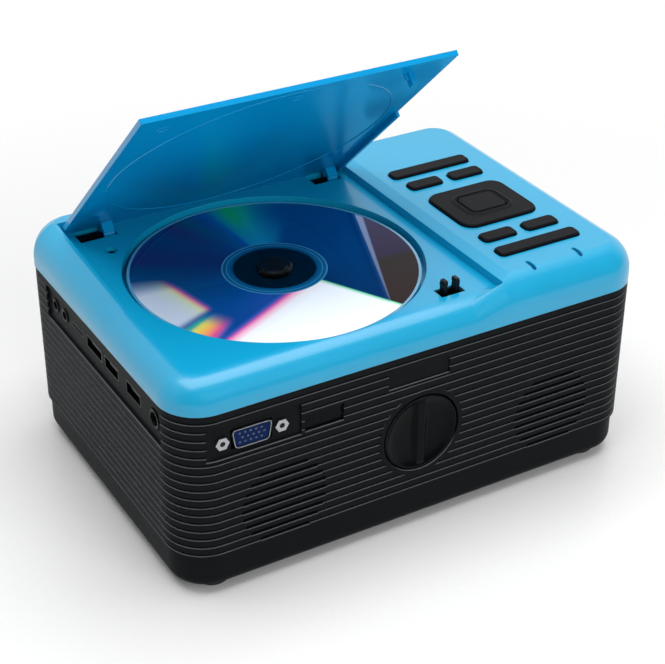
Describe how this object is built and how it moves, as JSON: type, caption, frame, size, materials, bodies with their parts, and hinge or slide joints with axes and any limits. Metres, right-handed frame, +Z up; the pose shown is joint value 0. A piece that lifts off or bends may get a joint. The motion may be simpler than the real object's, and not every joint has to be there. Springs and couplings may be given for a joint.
{
  "type": "projector with disc player",
  "caption": "Table-top projector with a sprung top lid over a disc well, a key plateau, a ribbed case with a round knob, side sockets and a rear focus ring.",
  "frame": {"origin": "centre of the casing's plan on the surface the feet stand on", "axes": "+Z up, +X to the right along the knob face, +Y towards the lens and the lid hinge"},
  "size_m": [0.215, 0.152, 0.1848],
  "materials": {
    "blue_shell": "satin sky-blue moulding",
    "black_case": "fine spark-eroded black",
    "black_pan": "smooth satin black",
    "key_plastic": "charcoal satin",
    "gloss_black": "gloss",
    "inner_plastic": "plain dark moulding",
    "lamp_window": "dark blue window",
    "vga_plastic": "deep blue socket insert",
    "disc_plastic": "clear over a silver track layer",
    "circuit_board": "green mask",
    "foot_rubber": "matte",
    "steel": "bright zinc",
    "socket_metal": "tinned",
    "sink_aluminium": "extruded",
    "lamp_ceramic": "lamp carrier",
    "optical_glass": "polished"
  },
  "bodies": {
    "casing": {"top_shell": "blue_shell", "lower_case": "black_case", "base_pan": "black_pan", "rubber_feet": "foot_rubber", "key_board": "circuit_board", "tact_switches": "inner_plastic", "indicator_windows": "lamp_window", "lid_hinge_pins": "steel", "lid_spring": "steel", "lid_switch": "inner_plastic", "latch_frame": "inner_plastic", "deck_chassis": "inner_plastic", "deck_dampers": "foot_rubber", "screws": "steel", "spindle_motor": "steel", "guide_rods": "steel", "feed_motor": "steel", "vga_shell": "socket_metal", "vga_insert": "vga_plastic", "vga_standoffs": "socket_metal", "receiver_window": "gloss_black", "speakers": "inner_plastic", "audio_jacks": "inner_plastic", "data_sockets": "socket_metal", "power_jack": "inner_plastic", "port_board": "circuit_board", "main_board": "circuit_board", "power_board": "circuit_board", "engine_housing": "black_pan", "engine_cover": "black_pan", "lens_tube": "black_pan", "fresnel_lenses": "optical_glass", "lcd_panel": "optical_glass", "led_module": "lamp_ceramic", "heatsink": "sink_aluminium", "fan_frame": "inner_plastic"},
    "lid": {"disc_lid": "blue_shell"},
    "latch": {"latch_plunger": "inner_plastic"},
    "left_jaw": {"latch_left_jaw": "inner_plastic"},
    "right_jaw": {"latch_right_jaw": "inner_plastic"},
    "table": {"turntable": "inner_plastic", "hub_balls": "steel"},
    "disc": {"dvd_disc": "disc_plastic"},
    "pickup": {"pickup_sled": "inner_plastic", "pickup_lens": "optical_glass"},
    "feed": {"feed_screw": "steel"},
    "rear_long": {"rear_long_key": "key_plastic"},
    "rear_left": {"rear_left_key": "key_plastic"},
    "rear_right": {"rear_right_key": "key_plastic"},
    "direction": {"direction_key": "key_plastic"},
    "centre": {"centre_key": "key_plastic"},
    "front_left": {"front_left_key": "key_plastic"},
    "front_right": {"front_right_key": "key_plastic"},
    "front_long": {"front_long_key": "key_plastic"},
    "knob": {"keystone_knob": "gloss_black", "knob_clip": "steel"},
    "ring": {"focus_ring": "foot_rubber"},
    "barrel": {"lens_barrel": "black_pan", "lens_elements": "optical_glass"},
    "rotor": {"fan_rotor": "inner_plastic"}
  },
  "joints": [
    {"name": "lid_hinge", "type": "hinge", "parent": "casing", "child": "lid", "pos_m": [0, 0.0545, 0.0955], "axis": [1, 0, 0], "range_deg": [0, 43], "stiffness_Nm_per_rad": 0.02, "springref_deg": -103.13},
    {"name": "latch_press", "type": "slide", "parent": "casing", "child": "latch", "axis": [0, 0, -1], "range_m": [0, 0.00602]},
    {"name": "left_jaw_close", "type": "hinge", "parent": "latch", "child": "left_jaw", "pos_m": [0.0177, -0.06, 0.0946], "axis": [0, 1, 0], "range_deg": [0, 3.05]},
    {"name": "right_jaw_close", "type": "hinge", "parent": "latch", "child": "right_jaw", "pos_m": [0.0223, -0.06, 0.0946], "axis": [0, -1, 0], "range_deg": [0, 3.05]},
    {"name": "table_spin", "type": "hinge", "parent": "casing", "child": "table", "pos_m": [-0.0295, -0.006, 0.09], "axis": [0, 0, 1], "continuous": true},
    {"name": "disc_lift", "type": "slide", "parent": "table", "child": "disc", "axis": [0, 0, 1], "range_m": [0, 0.004]},
    {"name": "pickup_slide", "type": "slide", "parent": "casing", "child": "pickup", "axis": [0.9205, 0.3907, 0], "range_m": [0, 0.033]},
    {"name": "feed_turn", "type": "hinge", "parent": "casing", "child": "feed", "pos_m": [-0.0001, 0.02712, 0.08], "axis": [0.9205, 0.3907, 0], "range_deg": [0, 3961]},
    {"name": "rear_long_press", "type": "slide", "parent": "casing", "child": "rear_long", "axis": [0, 0, -1], "range_m": [0, 0.0008], "stiffness_N_per_m": 800, "springref_m": -0.0005},
    {"name": "rear_left_press", "type": "slide", "parent": "casing", "child": "rear_left", "axis": [0, 0, -1], "range_m": [0, 0.0008], "stiffness_N_per_m": 800, "springref_m": -0.0005},
    {"name": "rear_right_press", "type": "slide", "parent": "casing", "child": "rear_right", "axis": [0, 0, -1], "range_m": [0, 0.0008], "stiffness_N_per_m": 800, "springref_m": -0.0005},
    {"name": "direction_press", "type": "slide", "parent": "casing", "child": "direction", "axis": [0, 0, -1], "range_m": [0, 0.0008], "stiffness_N_per_m": 800, "springref_m": -0.0005},
    {"name": "centre_press", "type": "slide", "parent": "casing", "child": "centre", "axis": [0, 0, -1], "range_m": [0, 0.0008], "stiffness_N_per_m": 800, "springref_m": -0.0005},
    {"name": "front_left_press", "type": "slide", "parent": "casing", "child": "front_left", "axis": [0, 0, -1], "range_m": [0, 0.0008], "stiffness_N_per_m": 800, "springref_m": -0.0005},
    {"name": "front_right_press", "type": "slide", "parent": "casing", "child": "front_right", "axis": [0, 0, -1], "range_m": [0, 0.0008], "stiffness_N_per_m": 800, "springref_m": -0.0005},
    {"name": "front_long_press", "type": "slide", "parent": "casing", "child": "front_long", "axis": [0, 0, -1], "range_m": [0, 0.0008], "stiffness_N_per_m": 800, "springref_m": -0.0005},
    {"name": "knob_turn", "type": "hinge", "parent": "casing", "child": "knob", "pos_m": [-0.0014, -0.07, 0.0459], "axis": [0, 1, 0], "range_deg": [-45, 45]},
    {"name": "focus_turn", "type": "hinge", "parent": "casing", "child": "ring", "pos_m": [0, 0.07, 0.043], "axis": [0, 1, 0], "range_deg": [0, 90]},
    {"name": "lens_travel", "type": "slide", "parent": "casing", "child": "barrel", "axis": [0, 1, 0], "range_m": [0, 0.00301]},
    {"name": "fan_spin", "type": "hinge", "parent": "casing", "child": "rotor", "pos_m": [0.1, 0.018, 0.046], "axis": [1, 0, 0], "continuous": true}
  ],
  "couplings": [
    {"joint": "latch_press", "follows": "lid_hinge", "m_per_rad": 0.00799},
    {"joint": "left_jaw_close", "follows": "lid_hinge", "ratio": 0.0697},
    {"joint": "right_jaw_close", "follows": "lid_hinge", "ratio": 0.0697},
    {"joint": "feed_turn", "follows": "pickup_slide", "rad_per_m": 2094.4},
    {"joint": "lens_travel", "follows": "focus_turn", "m_per_rad": 0.0019098}
  ]
}
